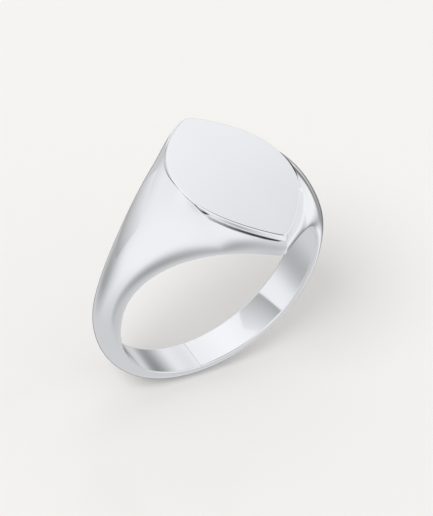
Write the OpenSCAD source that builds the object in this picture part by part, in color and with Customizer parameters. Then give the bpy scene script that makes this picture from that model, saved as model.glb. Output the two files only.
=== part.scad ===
// Signet ring with a flat, lens-shaped table, built up from soldered pieces.
// Millimetres. The origin is the centre of the finger bore. The finger runs
// along Y, the table faces +Z, and the back of the band is at the bottom, -Z.
// Angles round the band are counted from the back towards +X.

/* [Finger] */
// Inside diameter of the band
inside_d = 17.3; // [15.7:0.1:19.8]

/* [Band] */
// Width of the band at the back
back_w = 2.8; // [2:0.1:4]
// Width of the band at its sides
side_w = 3.1; // [2.4:0.1:5]
// Thickness of the band at the back
band_t = 1.35; // [1:0.05:1.8]
// Angle where the shoulders begin to thicken
rise_start = 82; // [70:1:100]
// How late the shoulders thicken, as a power of the angle
rise_power = 3.4; // [2.5:0.1:4.5]

/* [Table] */
// Length of the table between its two points
table_l = 14.4; // [12:0.1:16]
// Width of the table between the shoulders
table_w = 9.8; // [8:0.1:11]
// Height of the table above the finger
table_h = 1.8; // [1.5:0.1:2.4]
// Bow of the table's sides towards the near point, -Y: 2 is a parabola
near_bow = 1.9; // [1.8:0.05:2.1]
// Bow of the table's sides towards the far point, +Y, which is fuller
far_bow = 2.4; // [1.9:0.05:2.5]
// Rounding of the table's near point
near_round = 0.3; // [0.1:0.05:0.5]
// Rounding of the table's far point
far_round = 0.5; // [0.3:0.05:0.6]

/* [Face plate] */
// Thickness of the plate that carries the table
plate_t = 0.4; // [0.3:0.05:0.8]
// Spread of the plate's bevel at the points
bevel_point = 0.15; // [0.1:0.05:0.2]
// Spread of the plate's bevel at the sides
bevel_side = 0.05; // [0.02:0.01:0.1]

/* [Head] */
// Length of the head along the finger, at the bore
head_l = 15.2; // [15:0.1:17]
// Bow of the head's flanks, as a power: 1 is straight when seen from above
flank_bow = 1; // [0.9:0.05:1.4]
// Fullness of the section at the table's sides: 2 is an ellipse
shoulder_full = 1.8; // [1.6:0.1:2.2]
// Fullness of the section at the table's points: more is steeper
point_full = 3.4; // [3:0.1:4]

/* [Joints] */
// Thickness of the solder between the pieces of the band
solder_t = 0.1; // [0.06:0.02:0.2]
// Thickness of the solder under the face plate
seat_solder_t = 0.06; // [0.04:0.01:0.1]
// Angle of the closing joint at the back, just off centre
back_joint = 3; // [0:1:10]
// Angle of the joints between band and shoulders
band_joint = 55; // [45:1:70]
// Angle of the joints between shoulders and head, counted from the top
head_joint = 34; // [30:1:45]

/* [Hidden] */
bore_r = inside_d / 2;
half_l = table_l / 2;
half_w = table_w / 2;
table_z = bore_r + table_h;
seat_z = table_z - plate_t;
near_corner = 0.05;       // rounding of the plate's lower edge at the near point
far_corner = 0.45;        // rounding of the plate's lower edge at the far point
crest_flat = 0.04;        // half of the hair-wide flat along the crest
bore_lap = 0.05;          // how far the pieces reach into the bore before it is cut
core_r = 0.85 * bore_r;   // inner limit of the blanks, cut away with the bore
rim_flat = 4.2;           // half width over which the head's rim lies at the seat
rim_steps = 24;
bore_l = head_l + 4;
level = 4;                // how sharply the crest levels out at the table
band_full = 2;            // fullness of the band's section
shoulder_q = atan2(half_w, table_z);          // angle from the top to the table's side
shoulder_r = norm([half_w, table_z]);
rise_end = 180 - shoulder_q;
solder_deg = solder_t / bore_r * 180 / PI;
section_steps = 12;
band_step = 2;
outline_steps = 72;

silver = [0.82, 0.83, 0.85];
solder = [0.74, 0.74, 0.75];

// Angle from the back, the same on both sides
function fold(phi) = abs((phi + 180) % 360 - 180);

// Eases from 0 to 1 while u goes from 0 to 1
function ease(u) = let (v = min(1, max(0, u))) v * v * (3 - 2 * v);

// Half width of the band at the bore: nearly constant round the back, then
// flaring out to the points of the head
function edge_w(phi) =
    let (s = sin(fold(phi)))
    fold(phi) < 90
        ? back_w / 2 + (side_w - back_w) / 2 * s * s
        : side_w / 2 + (head_l - side_w) / 2 * (1 - pow(s, flank_bow));

// Radius of the crest, the highest line of the band. It rises along the
// shoulders, meets the table's sides and levels out above the table.
function crest_r(phi) =
    let (u = max(0, (fold(phi) - rise_start) / (rise_end - rise_start)),
         rise = pow(u, rise_power) * pow(2 / (1 + pow(u, rise_power * level)), 1 / level))
    bore_r + band_t + (shoulder_r - bore_r - band_t) * rise;

// Fullness of the section as a power: 2 is an ellipse, more is squarer
function fullness(phi) =
    band_full
    + (shoulder_full - band_full) * ease((fold(phi) - rise_start) / (rise_end - rise_start))
    + (point_full - shoulder_full) * ease((fold(phi) - rise_end) / (180 - rise_end));

// The closed section in the plane through the finger's axis, as [y, radius]
function section(phi) =
    let (w = edge_w(phi),
         base = bore_r - bore_lap,
         k = 2 / fullness(phi),
         half = [for (i = [0 : section_steps])
             let (t = i * 90 / section_steps)
             [max(crest_flat, w * pow(sin(t), k)),
              base + (crest_r(phi) - base) * pow(cos(t), k)]])
    concat(
        [[-w, core_r]],
        [for (i = [section_steps : -1 : 0]) [-half[i][0], half[i][1]]],
        half,
        [[w, core_r]]
    );

// Sections in space at even steps from one angle to another
function band_loops(from, to, steps) =
    [for (i = [0 : steps])
        let (phi = from + (to - from) * i / steps)
        [for (p = section(phi)) [p[1] * sin(phi), p[0], -p[1] * cos(phi)]]];

// Half length of a lens at distance x from its long axis, with a rounded point
function lens_y(x, l, w, bow, round) =
    abs(x) >= w ? 0
    : let (s = sqrt(x * x + round * round * (1 - x * x / (w * w))))
      l * pow(1 - s / w, 1 / bow);

// Faces closing a symmetric loop of n points that starts at point number first
function cap(first, n) =
    [for (j = [0 : n / 2 - 2]) for (t = [0, 1])
        let (a = first + j, b = first + n - 1 - j)
        t == 0 ? [a, a + 1, b - 1] : [a, b - 1, b]];

function flipped(faces) = [for (f = faces) [f[2], f[1], f[0]]];

// Skins a row of matching symmetric loops into one solid
module skin(loops) {
    n = len(loops[0]);
    last = len(loops) - 1;
    points = [for (l = loops) for (p = l) p];
    sides = [for (i = [0 : last - 1]) for (j = [0 : n - 1]) for (t = [0, 1])
        let (a = i * n + j, b = i * n + (j + 1) % n)
        t == 0 ? [a, b + n, b] : [a, a + n, b + n]];
    polyhedron(points, concat(cap(0, n), sides, flipped(cap(last * n, n))), 4);
}

module finger_bore() {
    rotate([90, 0, 0])
        cylinder(h = bore_l, r = bore_r, center = true, $fn = 180);
}

// A stretch of the band between two angles
module band_piece(from, to) {
    steps = max(1, ceil((to - from) / band_step));
    difference() {
        skin(band_loops(from, to, steps));
        finger_bore();
    }
}

// Outline of a lens at one height, as a closed loop
function lens_loop(z, l, w, near, far) =
    [for (i = [0 : outline_steps - 1])
        let (t = i * 360 / outline_steps,
             x = -w * sin(t))
        [x,
         cos(t) < 0 ? -lens_y(x, l, w, near_bow, near) : lens_y(x, l, w, far_bow, far),
         z]];

function plate_top(z) = lens_loop(z, half_l, half_w, near_round, far_round);
function plate_foot(z) =
    lens_loop(z, half_l + bevel_point, half_w + bevel_side, near_corner, far_corner);

module face_plate() {
    color(silver)
        skin([plate_foot(seat_z), plate_top(table_z)]);
}

module face_solder() {
    color(solder)
        skin([plate_foot(seat_z - seat_solder_t), plate_foot(seat_z)]);
}

// Height of the head's rim at distance x from the long axis: the seat's along
// the points, easing up to the table's where the shoulders meet its sides
function rim_z(x) = seat_z + plate_t * ease((abs(x) - rim_flat) / (half_w - rim_flat));

// The seat of the face plate and its solder, and all that is above the rim
module plate_seat() {
    skin([plate_foot(seat_z - seat_solder_t), plate_foot(table_z + 2 * table_h)]);
    rotate([90, 0, 0])
        linear_extrude(height = 2 * head_l, center = true)
            polygon(concat(
                [[-head_l, table_z + table_h], [-head_l, table_z]],
                [for (i = [-rim_steps : rim_steps])
                    let (x = i * half_w / rim_steps) [x, rim_z(x)]],
                [[head_l, table_z], [head_l, table_z + table_h]]
            ));
}

module head() {
    color(silver)
        difference() {
            band_piece(180 - head_joint, 180 + head_joint);
            plate_seat();
        }
}

module left_shoulder() {
    color(silver)
        band_piece(180 + head_joint + solder_deg, 360 - band_joint);
}

module right_shoulder() {
    color(silver)
        band_piece(band_joint, 180 - head_joint - solder_deg);
}

module left_head_solder() {
    color(solder)
        band_piece(180 + head_joint, 180 + head_joint + solder_deg);
}

module right_head_solder() {
    color(solder)
        band_piece(180 - head_joint - solder_deg, 180 - head_joint);
}

module left_band() {
    color(silver)
        band_piece(360 - band_joint + solder_deg, 360 + back_joint);
}

module right_band() {
    color(silver)
        band_piece(back_joint + solder_deg, band_joint - solder_deg);
}

module left_band_solder() {
    color(solder)
        band_piece(360 - band_joint, 360 - band_joint + solder_deg);
}

module right_band_solder() {
    color(solder)
        band_piece(band_joint - solder_deg, band_joint);
}

module back_solder() {
    color(solder)
        band_piece(back_joint, back_joint + solder_deg);
}

face_plate();
face_solder();
head();
left_shoulder();
right_shoulder();
left_head_solder();
right_head_solder();
left_band();
right_band();
left_band_solder();
right_band_solder();
back_solder();
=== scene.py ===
# Looks of the signet ring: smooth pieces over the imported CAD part, polished metal, a pale floor
# and studio light.
import math

import bmesh
import bpy
import numpy as np
from mathutils import Matrix, Vector


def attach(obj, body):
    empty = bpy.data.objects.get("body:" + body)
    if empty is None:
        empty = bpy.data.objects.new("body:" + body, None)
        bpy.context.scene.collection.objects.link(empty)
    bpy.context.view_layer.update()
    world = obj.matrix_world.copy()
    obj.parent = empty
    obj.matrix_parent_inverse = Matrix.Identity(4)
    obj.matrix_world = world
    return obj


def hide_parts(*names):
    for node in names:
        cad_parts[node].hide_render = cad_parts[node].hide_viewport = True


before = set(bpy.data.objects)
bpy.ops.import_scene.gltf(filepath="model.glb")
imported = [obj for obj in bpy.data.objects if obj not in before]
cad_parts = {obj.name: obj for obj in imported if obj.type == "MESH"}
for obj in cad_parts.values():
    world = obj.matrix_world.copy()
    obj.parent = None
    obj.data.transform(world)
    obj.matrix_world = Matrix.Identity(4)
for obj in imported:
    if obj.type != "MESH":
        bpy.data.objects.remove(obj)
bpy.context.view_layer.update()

# ---- the ring's dimensions, millimetres and degrees, as in the design ----
MM = 0.001
BORE_R = 8.65
BACK_W, SIDE_W, BAND_T = 2.8, 3.1, 1.35
RISE_START, RISE_POWER, LEVEL = 82.0, 3.4, 4.0
TABLE_L, TABLE_W, TABLE_H = 14.4, 9.8, 1.8
NEAR_BOW, FAR_BOW, NEAR_ROUND, FAR_ROUND = 1.9, 2.4, 0.3, 0.5
PLATE_T, BEVEL_POINT, BEVEL_SIDE, NEAR_CORNER, FAR_CORNER = 0.4, 0.15, 0.05, 0.05, 0.45
HEAD_L, SHOULDER_FULL, POINT_FULL, BAND_FULL = 15.2, 1.8, 3.4, 2.0
SOLDER_T, SEAT_SOLDER_T = 0.1, 0.06
BACK_JOINT, BAND_JOINT, HEAD_JOINT = 3.0, 55.0, 34.0

HALF_L, HALF_W = TABLE_L / 2, TABLE_W / 2
TABLE_Z = BORE_R + TABLE_H
SEAT_Z = TABLE_Z - PLATE_T
SEAT_LOW = SEAT_Z - SEAT_SOLDER_T
RIM_FLAT = 4.2         # half width over which the head's rim lies at the seat
SIDE_R = math.hypot(HALF_W, TABLE_Z)
RISE_END = 180 - math.degrees(math.atan2(HALF_W, TABLE_Z))
SOLDER_DEG = math.degrees(SOLDER_T / BORE_R)
FOOT_L, FOOT_W = HALF_L + BEVEL_POINT, HALF_W + BEVEL_SIDE

# finishing touches that only the looks have
EDGE_R = 0.13          # rounding of the band's edges at the bore
TABLE_EDGE_R = 0.14    # rounding of the table's edge
FOOT_EDGE_R = 0.035    # rounding where plate and head meet
RIDGE_SOFT = 0.035     # softening of the ridge below the near point, at the bore
FAR_SOFT = 0.06        # softening of the ridge below the far point
TABLE_CROWN = 0.05     # slight crown that polishing leaves on the table
# the closing joint shows as a fine groove, millimetres deep and degrees wide
SEAM_DEEP, SEAM_WIDE = 0.03, 0.3


# ---- the ring's surface ----
def ease(u):
    u = np.clip(u, 0, 1)
    return u * u * (3 - 2 * u)


def fold(phi):
    return np.abs((phi + 180) % 360 - 180)


def edge_w(phi, soft):
    f = fold(phi)
    s = np.abs(np.sin(np.radians(f)))
    s_head = np.sqrt(s * s + soft * soft * (1 - s * s))
    return np.where(
        f < 90,
        BACK_W / 2 + (SIDE_W - BACK_W) / 2 * s * s,
        SIDE_W / 2 + (HEAD_L - SIDE_W) / 2 * (1 - s_head),
    )


def width_at(phi, r, side):
    """Half width of the section's ellipse. The near ridge is soft at the bore and crisp at the plate."""
    near = RIDGE_SOFT * (1 - ease((r - BORE_R) / (SEAT_LOW - BORE_R)))
    return edge_w(phi, np.where(side < 0, near, FAR_SOFT))


def crest_r(phi):
    u = np.maximum(0, (fold(phi) - RISE_START) / (RISE_END - RISE_START))
    p = u**RISE_POWER
    return BORE_R + BAND_T + (SIDE_R - BORE_R - BAND_T) * p * (2 / (1 + p**LEVEL)) ** (1 / LEVEL)


def fullness(phi):
    f = fold(phi)
    return (
        BAND_FULL
        + (SHOULDER_FULL - BAND_FULL) * ease((f - RISE_START) / (RISE_END - RISE_START))
        + (POINT_FULL - SHOULDER_FULL) * ease((f - RISE_END) / (180 - RISE_END))
    )


BASE_R = BORE_R + EDGE_R


def half_y(phi, r, side):
    """Half length of the outer surface at radius r."""
    n = fullness(phi)
    rho = np.clip((r - BASE_R) / (crest_r(phi) - BASE_R), 0, 1)
    return width_at(phi, r, side) * np.maximum(1 - rho**n, 0) ** (1 / n)


def implicit(y, r, phi, side):
    n = fullness(phi)
    rho = np.clip((r - BASE_R) / (crest_r(phi) - BASE_R), 0, 2)
    return (np.abs(y) / width_at(phi, r, side)) ** n + rho**n


def outer_normal(y, r, phi, side):
    """Unit normal of the outer surface in (across, y, out) coordinates turned into space."""
    h = 1e-4
    gy = (implicit(np.abs(y) + h, r, phi, side) - implicit(np.abs(y) - h, r, phi, side)) * np.sign(y)
    gy = np.where(np.abs(y) < 2 * h, 0, gy)
    gr = implicit(y, r + h, phi, side) - implicit(y, np.maximum(r - h, BASE_R), phi, side)
    dp = 0.002
    gp = (implicit(y, r, phi + dp, side) - implicit(y, r, phi - dp, side)) * (h / (np.radians(dp) * r))
    p = np.radians(phi)
    out = np.stack([np.sin(p), 0 * p, -np.cos(p)], -1)
    along = np.stack([np.cos(p), 0 * p, np.sin(p)], -1)
    n = gr[..., None] * out + gp[..., None] * along
    n[..., 1] = gy
    return n / np.maximum(np.linalg.norm(n, axis=-1, keepdims=True), 1e-20)


def place(phi, y, r):
    p = np.radians(phi)
    return np.stack([r * np.sin(p), y + 0 * p, -r * np.cos(p)], -1)


def lens_y(x, l, w, soft, side):
    """Half length of a pointed oval at x; its near half (side -1) is slimmer than its far half."""
    bow = np.where(side < 0, NEAR_BOW, FAR_BOW)
    s = np.sqrt(x * x + soft * soft * np.maximum(1 - x * x / (w * w), 0))
    return np.where(np.abs(x) >= w, 0, l * np.maximum(1 - s / w, 0) ** (1 / bow))


# ---- turning rows of points into closed pieces ----
WELD = 1.9e-4


class Piece:
    """Collects quads with their own normals, welds them, and makes one closed mesh."""

    def __init__(self):
        self.points, self.normals, self.faces, self.smooth = [], [], [], []

    def grid(self, points, normals=None):
        """A sheet of points[i][j]; without normals its faces are flat."""
        rows, cols = points.shape[:2]
        base = len(self.points)
        self.points += list(points.reshape(-1, 3))
        self.normals += list((np.zeros_like(points) if normals is None else normals).reshape(-1, 3))
        for i in range(rows - 1):
            for j in range(cols - 1):
                a = base + i * cols + j
                self.faces.append((a, a + 1, a + cols + 1, a + cols))
                self.smooth.append(normals is not None)

    def build(self, name, material):
        points, normals = np.array(self.points), np.array(self.normals)
        cells = np.floor(points / WELD + 0.37).astype(np.int64)
        first, index = np.unique(cells, axis=0, return_index=True, return_inverse=True)[1:]
        index = index.reshape(-1)
        shared = np.zeros((len(first), 3))
        np.add.at(shared, index, normals)
        faces, smooth = [], []
        for f, s in zip(index[np.array(self.faces)].tolist(), self.smooth):
            corners = list(dict.fromkeys(f))
            if len(corners) > 2:
                faces.append(corners)
                smooth.append(s)
        mesh = bpy.data.meshes.new(name)
        mesh.from_pydata(points[first] * MM, [], faces)
        bm = bmesh.new()
        bm.from_mesh(mesh)
        bmesh.ops.recalc_face_normals(bm, faces=bm.faces)
        if bm.calc_volume(signed=True) < 0:
            bmesh.ops.reverse_faces(bm, faces=bm.faces)
        bm.to_mesh(mesh)
        bm.free()
        mesh.shade_smooth()
        count = len(mesh.loops)
        vertex = np.zeros(count, np.int32)
        mesh.loops.foreach_get("vertex_index", vertex)
        flat = np.zeros(len(mesh.polygons) * 3)
        mesh.polygons.foreach_get("normal", flat)
        corners = np.zeros(len(mesh.polygons), np.int32)
        mesh.polygons.foreach_get("loop_total", corners)
        flat = np.repeat(flat.reshape(-1, 3), corners, 0)
        soft = np.repeat(np.array(smooth), corners)
        n = shared[vertex]
        size = np.linalg.norm(n, axis=1)
        n = n / np.maximum(size, 1e-9)[:, None]
        n = n * np.where(np.sum(n * flat, 1) < 0, -1, 1)[:, None]
        n = np.where((soft & (size > 1e-6))[:, None], n, flat)
        mesh.normals_split_custom_set(n)
        mesh.materials.append(material)
        obj = bpy.data.objects.new(name, mesh)
        bpy.context.scene.collection.objects.link(obj)
        return obj


SECTION = 36
ROUND = 7
BORE = 8


def side_rows(phi, r_top, side):
    """Points and normals down one side of the sections at the angles phi, from radius r_top over the
    outer surface and the rounded edge to the middle of the bore."""
    phi = phi[:, None]
    n = fullness(phi)
    c = crest_r(phi)
    rho_top = np.clip((r_top[:, None] - BASE_R) / (c - BASE_R), 0, 1)
    t_top = np.arccos(np.clip(rho_top ** (n / 2), 0, 1))
    t = t_top + (math.pi / 2 - t_top) * np.linspace(0, 1, SECTION)[None, :]
    r = BASE_R + (c - BASE_R) * np.maximum(np.cos(t), 0) ** (2 / n)
    r[:, -1] = BASE_R
    y = width_at(phi, r, side) * np.sin(t) ** (2 / n)
    full = phi + 0 * t
    points = [place(full, side * y, r)]
    normals = [outer_normal(side * np.maximum(y, 0), r, full, side)]
    w = width_at(phi, np.array(BASE_R), side)
    a = np.linspace(0, math.pi / 2, ROUND)[None, 1:]
    full = phi + 0 * a
    points.append(place(full, side * (w - EDGE_R + EDGE_R * np.cos(a)), BASE_R - EDGE_R * np.sin(a)))
    p = np.radians(full)
    end = outer_normal(side * w, np.array(BASE_R) + 0 * w, phi + 0 * w, side)
    inward = np.stack([-np.sin(p), 0 * p, np.cos(p)], -1)
    normals.append(np.cos(a)[..., None] * end + np.sin(a)[..., None] * inward)
    v = np.linspace(1, 0, BORE)[None, 1:]
    full = phi + 0 * v
    points.append(place(full, side * (w - EDGE_R) * v, BORE_R + 0 * v))
    p = np.radians(full)
    normals.append(np.stack([-np.sin(p), 0 * p, np.cos(p)], -1))
    return np.concatenate(points, 1), np.concatenate(normals, 1)


def seam(phi):
    """Depth of the fine groove left along the closing joint at the back, and its slope."""
    u = (phi - (BACK_JOINT + SOLDER_DEG / 2) + 180) % 360 - 180
    u = u / SEAM_WIDE
    depth = SEAM_DEEP * np.exp(-u * u)
    slope = -2 * u * depth / (np.radians(SEAM_WIDE) * BORE_R)
    return depth, slope


def band_piece(name, start, end, material):
    """A stretch of the band between two angles."""
    steps = max(4, int(math.ceil(end - start)))
    phi = np.linspace(start, end, steps + 1)
    if end - start > 2:
        fine = np.arange(1, 12) * 0.1
        phi = np.unique(np.round(np.concatenate([phi, start + fine, end - fine]), 9))
    depth, slope = seam(phi)
    p = np.radians(phi)
    along = np.stack([np.cos(p), 0 * p, np.sin(p)], 1)
    piece = Piece()
    for side in (-1, 1):
        points, normals = side_rows(phi, crest_r(phi), side)
        points = points - normals * depth[:, None, None]
        normals = normals + slope[:, None, None] * along[:, None]
        normals /= np.linalg.norm(normals, axis=2, keepdims=True)
        piece.grid(points, normals)
        for k in (0, -1):
            middle = points[k].copy()
            middle[:, 1] = 0
            piece.grid(np.stack([points[k], middle]))
    return piece.build(name, material)


def rim_angles():
    """Angles of the stations under the plate, from where the crest reaches the plate's foot."""
    low, high = 90.0, 179.0
    for _ in range(60):
        mid = (low + high) / 2
        if crest_r(mid) * math.sin(math.radians(mid)) > FOOT_W:
            low = mid
        else:
            high = mid
    u = np.linspace(-1, 1, 301)
    return 180 + (180 - low) * np.sin(np.sign(u) * np.abs(u) ** 1.5 * math.pi / 2)


def rim_z(x):
    """Highest the rim may reach: the seat's height along the points, the table's at its sides."""
    return SEAT_Z + PLATE_T * ease((np.abs(x) - RIM_FLAT) / (HALF_W - RIM_FLAT))


def rim(phi, side):
    """The head's rim on one side: x, inner and outer half length y, and height z."""
    p = np.radians(phi)
    corner = NEAR_CORNER if side < 0 else FAR_CORNER
    top = crest_r(phi)
    low, high = np.full_like(phi, BORE_R + 0.3), top
    for _ in range(60):
        r = (low + high) / 2
        wider = half_y(phi, r, side) > lens_y(r * np.sin(p), FOOT_L, FOOT_W, corner, side)
        wider &= -r * np.cos(p) < rim_z(r * np.sin(p))
        low, high = np.where(wider, r, low), np.where(wider, high, r)
    r[[0, -1]] = top[[0, -1]]
    z = np.maximum(-r * np.cos(p), SEAT_LOW + 0.01)
    x = z * -np.tan(p)
    x[[0, -1]] = np.sign(x[[0, -1]]) * FOOT_W
    inner = lens_y(x, FOOT_L, FOOT_W, corner, side)
    return x, inner, np.maximum(inner, half_y(phi, r, side)), z


def head_piece(name, material):
    piece = Piece()
    phi_rim = rim_angles()
    middle_x = -SEAT_LOW * np.tan(np.radians(phi_rim))
    middle_x[[0, -1]] = np.sign(middle_x[[0, -1]]) * FOOT_W
    for side in (-1, 1):
        x, y, y_out, z = rim(phi_rim, side)
        fillet = FOOT_EDGE_R * np.minimum(1, 6 * np.sqrt(np.maximum(1 - (x / FOOT_W) ** 2, 0)))
        rows, nrm = side_rows(phi_rim, np.hypot(x, z), side)
        y_out[[0, -1]] = y[[0, -1]]
        ledge = np.minimum((y_out - y) / np.maximum(fillet, 1e-9), 1)
        z_in = np.maximum(z - fillet * (1 - ledge), SEAT_LOW)
        edge = np.stack([x, side * y_out, z], 1)
        start = np.stack([x, side * np.maximum(y, y_out - fillet), z_in], 1)
        wall = np.stack([x, side * y, z_in], 1)
        down = rows[:, 1] - edge
        down /= np.maximum(np.linalg.norm(down, axis=1, keepdims=True), 1e-9)
        first = edge + down * fillet[:, None]
        b = np.linspace(0, 1, 6)[None, :, None]
        curve = start[:, None] * (1 - b) ** 2 + edge[:, None] * 2 * b * (1 - b) + first[:, None] * b * b
        inward = np.stack([0 * x, -side * np.ones_like(x), 0 * x], 1)
        lean = 0.6 * (1 - ledge[:, None]) * inward + [0, 0, 0.8]
        turned = lean[:, None] * (1 - b) + nrm[:, 0][:, None] * b
        turned /= np.linalg.norm(turned, axis=2, keepdims=True)
        piece.grid(np.concatenate([curve, rows[:, 1:]], 1), np.concatenate([turned, nrm[:, 1:]], 1))
        low = np.stack([x, side * y, np.full_like(x, SEAT_LOW)], 1)
        centre = np.stack([middle_x, 0 * y, np.full_like(x, SEAT_LOW)], 1)
        piece.grid(np.stack([start, wall], 1))
        piece.grid(np.stack([wall, low], 1))
        piece.grid(np.stack([low, centre], 1))
        for a, b in ((180 - HEAD_JOINT, phi_rim[0]), (phi_rim[-1], 180 + HEAD_JOINT)):
            phi = np.linspace(a, b, 24)
            rows, nrm = side_rows(phi, crest_r(phi), side)
            piece.grid(rows, nrm)
            end = 0 if a < phi_rim[0] else -1
            middle = rows[end].copy()
            middle[:, 1] = 0
            piece.grid(np.stack([rows[end], middle]))
    return piece.build(name, material)


def outline(l, w, soft_near, soft_far, z, theta):
    side = np.where(np.cos(theta) >= 0, 1, -1)
    x = w * np.sin(theta)
    y = side * lens_y(x, l, w, np.where(side < 0, soft_near, soft_far), side)
    return np.stack([x, y, np.full_like(x, z)], 1)


def plate_theta():
    u = np.linspace(0, 1, 121)
    q = u**1.5 * math.pi / 2
    half = np.concatenate([-q[::-1], q[1:]])
    return np.concatenate([half, math.pi - half[::-1][1:]])


def face_plate_piece(name, material):
    theta = plate_theta()
    top = outline(HALF_L, HALF_W, NEAR_ROUND, FAR_ROUND, TABLE_Z, theta)
    foot = outline(FOOT_L, FOOT_W, NEAR_CORNER, FAR_CORNER, SEAT_Z, theta)

    def along(p):
        d = np.roll(p[:-1], -1, 0) - np.roll(p[:-1], 1, 0)
        d = np.concatenate([d, d[:1]])
        return d / np.linalg.norm(d, axis=1, keepdims=True)

    def outward(n, p):
        n = n * np.sign(np.sum(n * p * [1, 1, 0], 1, keepdims=True))
        return n / np.linalg.norm(n, axis=1, keepdims=True)

    up = np.array([0, 0, 1.0])
    bevel = foot - top
    bevel /= np.linalg.norm(bevel, axis=1, keepdims=True)
    n_top = outward(np.cross(along(top), up), top)
    n_foot = outward(np.cross(along(foot), up), foot)
    n_bevel = outward(np.cross(along(top) + along(foot), bevel), top)
    piece = Piece()
    # the crowned table
    inner = top - n_top * TABLE_EDGE_R
    s = np.linspace(0, 1, 25)[None, :, None]
    table = inner[:, None] * s
    table[..., 2] = TABLE_Z + TABLE_CROWN * (1 - s[..., 0] ** 2)
    slope = 2 * TABLE_CROWN * s / np.maximum(np.linalg.norm(inner[:, None, :2], axis=2, keepdims=True), 1e-6)
    radial = inner[:, None] * [1, 1, 0]
    radial = radial / np.linalg.norm(radial, axis=2, keepdims=True)
    n_table = up + radial * slope
    n_table /= np.linalg.norm(n_table, axis=2, keepdims=True)
    piece.grid(table, n_table)
    # its rounded edge, the bevel and the rounded foot
    b = np.linspace(0, 1, 8)[None, :, None]
    outer = top + bevel * TABLE_EDGE_R
    edge = inner[:, None] * (1 - b) ** 2 + top[:, None] * 2 * b * (1 - b) + outer[:, None] * b * b
    n_edge = n_table[:, -1][:, None] * (1 - b) + n_bevel[:, None] * b
    n_edge /= np.linalg.norm(n_edge, axis=2, keepdims=True)
    low = foot - bevel * FOOT_EDGE_R
    under = foot - n_foot * FOOT_EDGE_R
    turn = low[:, None] * (1 - b) ** 2 + foot[:, None] * 2 * b * (1 - b) + under[:, None] * b * b
    n_turn = n_bevel[:, None] * (1 - b) - up * b
    n_turn /= np.linalg.norm(n_turn, axis=2, keepdims=True)
    piece.grid(np.concatenate([edge, turn], 1), np.concatenate([n_edge, n_turn], 1))
    centre = np.zeros_like(under)
    centre[:, 2] = SEAT_Z
    piece.grid(np.stack([under, centre], 1))
    return piece.build(name, material)


def face_solder_piece(name, material):
    theta = plate_theta()
    piece = Piece()
    levels = []
    for z in (SEAT_LOW, SEAT_Z):
        ring = outline(FOOT_L - 0.04, FOOT_W - 0.04, NEAR_CORNER, FAR_CORNER, z, theta)
        centre = np.zeros_like(ring)
        centre[:, 2] = z
        piece.grid(np.stack([ring, centre], 1))
        levels.append(ring)
    piece.grid(np.stack(levels, 1))
    return piece.build(name, material)


# ---- materials ----
def links(tree, *pairs):
    for a, b in pairs:
        tree.links.new(a, b)


def polished(name, colour, rough, scratch, seed):
    """Polished white metal: fine hairlines, faint clouds in the polish and a hint of wear."""
    mat = bpy.data.materials.new(name)
    mat.use_nodes = True
    tree = mat.node_tree
    nodes = tree.nodes
    nodes.clear()
    out = nodes.new("ShaderNodeOutputMaterial")
    bsdf = nodes.new("ShaderNodeBsdfPrincipled")
    bsdf.inputs["Metallic"].default_value = 1.0
    coord = nodes.new("ShaderNodeTexCoord")
    clouds = nodes.new("ShaderNodeTexNoise")
    clouds.noise_dimensions = "4D"
    clouds.inputs["W"].default_value = seed
    clouds.inputs["Scale"].default_value = 260
    clouds.inputs["Detail"].default_value = 4
    stretch = nodes.new("ShaderNodeMapping")
    stretch.inputs["Scale"].default_value = (1.0, 9.0, 1.0)
    hair = nodes.new("ShaderNodeTexNoise")
    hair.noise_dimensions = "4D"
    hair.inputs["W"].default_value = seed + 3
    hair.inputs["Scale"].default_value = 2600
    hair.inputs["Detail"].default_value = 3
    rough_ramp = nodes.new("ShaderNodeMapRange")
    rough_ramp.inputs["From Min"].default_value = 0.3
    rough_ramp.inputs["From Max"].default_value = 0.7
    rough_ramp.inputs["To Min"].default_value = rough * 0.7
    rough_ramp.inputs["To Max"].default_value = rough * 1.4
    tint = nodes.new("ShaderNodeMix")
    tint.data_type = "RGBA"
    tint.inputs["A"].default_value = (*[c * 0.985 for c in colour], 1)
    tint.inputs["B"].default_value = (*colour, 1)
    bump = nodes.new("ShaderNodeBump")
    bump.inputs["Strength"].default_value = scratch
    bump.inputs["Distance"].default_value = 0.00001
    links(
        tree,
        (coord.outputs["Object"], clouds.inputs["Vector"]),
        (coord.outputs["Object"], stretch.inputs["Vector"]),
        (stretch.outputs["Vector"], hair.inputs["Vector"]),
        (clouds.outputs["Fac"], rough_ramp.inputs["Value"]),
        (rough_ramp.outputs["Result"], bsdf.inputs["Roughness"]),
        (clouds.outputs["Fac"], tint.inputs["Factor"]),
        (tint.outputs["Result"], bsdf.inputs["Base Color"]),
        (hair.outputs["Fac"], bump.inputs["Height"]),
        (bump.outputs["Normal"], bsdf.inputs["Normal"]),
        (bsdf.outputs["BSDF"], out.inputs["Surface"]),
    )
    return mat


face_metal = polished("polished_face", (0.93, 0.94, 0.96), 0.07, 0.02, 1.0)
body_metal = polished("polished_body", (0.92, 0.93, 0.95), 0.06, 0.02, 2.0)
solder_metal = polished("polished_solder", (0.90, 0.905, 0.92), 0.09, 0.03, 5.0)

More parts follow.
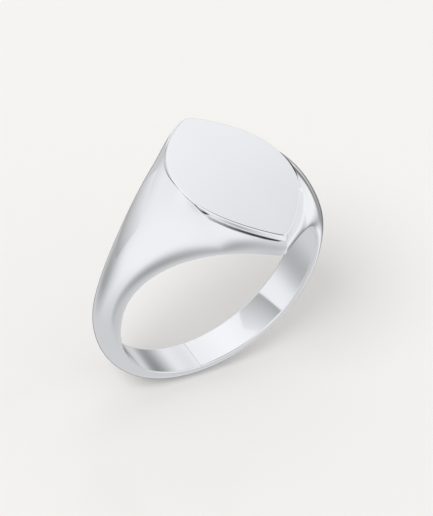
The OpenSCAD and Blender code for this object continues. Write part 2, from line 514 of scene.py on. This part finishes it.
# ---- the pieces ----
top_a, top_b = 180 - HEAD_JOINT, 180 + HEAD_JOINT
low_a, low_b = BAND_JOINT, 360 - BAND_JOINT
back_a, back_b = BACK_JOINT, BACK_JOINT + SOLDER_DEG
pieces = {
    "face_plate": face_plate_piece("table_plate", face_metal),
    "face_solder": face_solder_piece("plate_solder_film", solder_metal),
    "head": head_piece("ring_head", body_metal),
    "left_shoulder": band_piece("shoulder_left", top_b + SOLDER_DEG, low_b, body_metal),
    "right_shoulder": band_piece("shoulder_right", low_a, top_a - SOLDER_DEG, body_metal),
    "left_head_solder": band_piece("head_solder_left", top_b, top_b + SOLDER_DEG, body_metal),
    "right_head_solder": band_piece("head_solder_right", top_a - SOLDER_DEG, top_a, body_metal),
    "left_band": band_piece("band_left", low_b + SOLDER_DEG, 360 + back_a, body_metal),
    "right_band": band_piece("band_right", back_b, low_a - SOLDER_DEG, body_metal),
    "left_band_solder": band_piece("band_solder_left", low_b, low_b + SOLDER_DEG, body_metal),
    "right_band_solder": band_piece("band_solder_right", low_a - SOLDER_DEG, low_a, body_metal),
    "back_solder": band_piece("closing_solder", back_a, back_b, solder_metal),
}
for node, piece in pieces.items():
    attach(piece, "root")
    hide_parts(node)

# ---- floor ----
FLOOR_Z = -(BORE_R + BAND_T) * MM
mesh = bpy.data.meshes.new("studio_floor")
FLOOR_HALF = 3.0    # metres
mesh.from_pydata(
    [(x * FLOOR_HALF, y * FLOOR_HALF, FLOOR_Z) for x, y in ((-1, -1), (1, -1), (1, 1), (-1, 1))],
    [],
    [(0, 1, 2, 3)],
)
floor = bpy.data.objects.new("studio_floor", mesh)
bpy.context.scene.collection.objects.link(floor)
mat = bpy.data.materials.new("studio_floor")
mat.use_nodes = True
bsdf = mat.node_tree.nodes["Principled BSDF"]
bsdf.inputs["Base Color"].default_value = (0.86, 0.85, 0.835, 1)
bsdf.inputs["Roughness"].default_value = 0.12
bsdf.inputs["Specular IOR Level"].default_value = 0.3
mesh.materials.append(mat)
floor.visible_glossy = False

# ---- studio light: a pale surround with soft boxes and grey flags, seen in the metal ----
def direction(azimuth, elevation):
    a, e = math.radians(azimuth), math.radians(elevation)
    return Vector((math.sin(a) * math.cos(e), math.cos(a) * math.cos(e), math.sin(e)))


world = bpy.data.worlds.new("studio")
bpy.context.scene.world = world
world.use_nodes = True
tree = world.node_tree
nodes = tree.nodes
nodes.clear()
out = nodes.new("ShaderNodeOutputWorld")
coord = nodes.new("ShaderNodeTexCoord")


def dot(vector):
    node = nodes.new("ShaderNodeVectorMath")
    node.operation = "DOT_PRODUCT"
    node.inputs[1].default_value = vector
    tree.links.new(coord.outputs["Generated"], node.inputs[0])
    return node.outputs["Value"]


def patch(level, tone, azimuth, elevation, wide, high, soft, tilt=0):
    """An oval card or flag of the given tone in the surround, its half width and height in degrees,
    turned by tilt, with an edge that fades over the fraction soft of its size."""
    middle = direction(azimuth, elevation)
    right = Vector((math.cos(math.radians(azimuth)), -math.sin(math.radians(azimuth)), 0))
    up = right.cross(middle)
    turn = Matrix.Rotation(math.radians(tilt), 3, middle)
    across = nodes.new("ShaderNodeCombineXYZ")
    tree.links.new(dot(turn @ right / math.sin(math.radians(wide))), across.inputs["X"])
    tree.links.new(dot(turn @ up / math.sin(math.radians(high))), across.inputs["Y"])
    behind = nodes.new("ShaderNodeMath")
    behind.operation = "LESS_THAN"
    behind.inputs[1].default_value = 0.0
    tree.links.new(dot(middle), behind.inputs[0])
    reach = nodes.new("ShaderNodeMath")
    reach.operation = "MULTIPLY"
    reach.inputs[1].default_value = 50.0
    tree.links.new(behind.outputs["Value"], reach.inputs[0])
    tree.links.new(reach.outputs["Value"], across.inputs["Z"])
    size = nodes.new("ShaderNodeVectorMath")
    size.operation = "LENGTH"
    tree.links.new(across.outputs["Vector"], size.inputs[0])
    ramp = nodes.new("ShaderNodeMapRange")
    ramp.interpolation_type = "SMOOTHSTEP"
    ramp.inputs["From Min"].default_value = 1 + soft
    ramp.inputs["From Max"].default_value = 1 - soft
    tree.links.new(size.outputs["Value"], ramp.inputs["Value"])
    mix = nodes.new("ShaderNodeMix")
    mix.data_type = "FLOAT"
    tree.links.new(ramp.outputs["Result"], mix.inputs["Factor"])
    tree.links.new(level, mix.inputs["A"])
    mix.inputs["B"].default_value = tone
    return mix.outputs["Result"]


base = nodes.new("ShaderNodeMapRange")
base.interpolation_type = "SMOOTHSTEP"
base.inputs["From Min"].default_value = -0.25
base.inputs["From Max"].default_value = 0.3
base.inputs["To Min"].default_value = 0.66
base.inputs["To Max"].default_value = 0.88
tree.links.new(dot((0, 0, 1)), base.inputs["Value"])
level = base.outputs["Result"]
CARDS = [
    # tone, azimuth, elevation, half width, half height, softness, tilt
    (0.6, -175, -45, 25, 8, 0.8, 0),       # floor falling away behind the camera's left
    (0.95, -90, 10, 45, 35, 0.7, 0),       # large soft box on the left
    (0.4, -35, -25, 25, 15, 0.9, 0),       # grey flag at the lower left
    (0.4, -135, -25, 10, 20, 0.9, 40),     # flag behind the camera
    (0.95, 75, -30, 15, 30, 0.5, 0),       # white card on the right
    (0.2, 60, -8, 3, 28, 0.6, -8),         # thin flag beside it
    (1.0, -15, 55, 25, 10, 0.9, 0),        # strip light overhead
    (1.0, 40, 40, 15, 10, 0.6, 0),         # card seen in the table
    (0.7, 55, 45, 10, 12, 0.9, 0),         # grey card that grades it
    (0.05, -138, 78, 24, 18, 0.6, 0),      # dark ceiling over the camera
    (0.15, 42, -41, 20, 16, 0.6, 0),       # dark floor far behind the ring
]
for card in CARDS:
    level = patch(level, *card)
colour = nodes.new("ShaderNodeMix")
colour.data_type = "RGBA"
colour.blend_type = "MULTIPLY"
colour.inputs["Factor"].default_value = 1.0
colour.inputs["B"].default_value = (0.985, 0.99, 1.0, 1)
tree.links.new(level, colour.inputs["A"])


def sky(tone, strength):
    node = nodes.new("ShaderNodeBackground")
    node.inputs["Color"].default_value = (*tone, 1)
    node.inputs["Strength"].default_value = strength
    return node.outputs["Background"]


def choose(kind, plain, chosen):
    node = nodes.new("ShaderNodeMixShader")
    tree.links.new(path.outputs[kind], node.inputs["Fac"])
    tree.links.new(plain, node.inputs[1])
    tree.links.new(chosen, node.inputs[2])
    return node.outputs["Shader"]


path = nodes.new("ShaderNodeLightPath")
studio = nodes.new("ShaderNodeBackground")
tree.links.new(colour.outputs["Result"], studio.inputs["Color"])
light = choose("Is Glossy Ray", sky((1.0, 0.995, 0.985), 0.76), studio.outputs["Background"])
light = choose("Is Camera Ray", light, sky((0.875, 0.87, 0.855), 1.0))
tree.links.new(light, out.inputs["Surface"])

# An emitting card stands close behind the left of the band and is seen only in the metal's reflections. Its
# glow is pale at the top and darker at the foot: painted light that stands in for a grey card.
CARD_LEFT, CARD_RIGHT = -20.0, -5.0    # millimetres
CARD_FOOT, CARD_TOP = 1.0, 9.0
CARD_BACK = 12.0
DIM_GLOW, BRIGHT_GLOW = 0.4, 0.85
card = bpy.data.meshes.new("reflection_glow_card")
card.from_pydata(
    [
        (CARD_LEFT * MM, CARD_BACK * MM, CARD_FOOT * MM),
        (CARD_RIGHT * MM, CARD_BACK * MM, CARD_FOOT * MM),
        (CARD_RIGHT * MM, CARD_BACK * MM, CARD_TOP * MM),
        (CARD_LEFT * MM, CARD_BACK * MM, CARD_TOP * MM),
    ],
    [],
    [(0, 1, 2, 3)],
)
glow_levels = card.attributes.new("tone", "FLOAT", "POINT").data
glow_levels.foreach_set("value", [DIM_GLOW, DIM_GLOW, BRIGHT_GLOW, BRIGHT_GLOW])
reflection_glow_card = bpy.data.objects.new("reflection_glow_card", card)
bpy.context.scene.collection.objects.link(reflection_glow_card)
grey = bpy.data.materials.new("reflection_glow_card")
grey.use_nodes = True
nodes = grey.node_tree.nodes
nodes.clear()
tone = nodes.new("ShaderNodeAttribute")
tone.attribute_name = "tone"
# the card's painted glow: emission whose strength is the per-corner glow level, bright at the top and dim at
# the foot
glow = nodes.new("ShaderNodeEmission")
glow.inputs["Color"].default_value = (0.985, 0.99, 1.0, 1)
out = nodes.new("ShaderNodeOutputMaterial")
links(
    grey.node_tree,
    (tone.outputs["Fac"], glow.inputs["Strength"]),
    (glow.outputs["Emission"], out.inputs["Surface"]),
)
card.materials.append(grey)
reflection_glow_card.visible_camera = False
reflection_glow_card.visible_diffuse = False
reflection_glow_card.visible_transmission = False
reflection_glow_card.visible_shadow = False

key = bpy.data.lights.new("key", "SUN")
key.energy = 1.3
key.angle = math.radians(25)
lamp = bpy.data.objects.new("key", key)
bpy.context.scene.collection.objects.link(lamp)
lamp.rotation_euler = direction(-110, 48).to_track_quat("Z", "Y").to_euler()
lamp.visible_glossy = False

bpy.context.scene.view_settings.view_transform = "Standard"

# ---- camera ----
data = bpy.data.cameras.new("photo_view")
camera = bpy.data.objects.new("photo_view", data)
bpy.context.scene.collection.objects.link(camera)
bpy.context.scene.camera = camera
data.sensor_fit = "VERTICAL"
data.sensor_height = 36
data.lens = 219.9
data.clip_start = 0.01
data.clip_end = 20
VIEW_AZIMUTH, VIEW_ELEVATION, VIEW_ROLL = 180 + 41.93, 41.14, 14.75    # degrees
VIEW_DISTANCE = 0.2425                                                 # metres
target = Vector((0.85, 0.57, 1.15)) * MM
away = direction(VIEW_AZIMUTH, VIEW_ELEVATION)
camera.location = target + away * VIEW_DISTANCE
look = (-away).to_track_quat("-Z", "Y").to_matrix()
roll = Matrix.Rotation(math.radians(VIEW_ROLL), 3, "Z")
camera.rotation_euler = (look @ roll).to_euler()
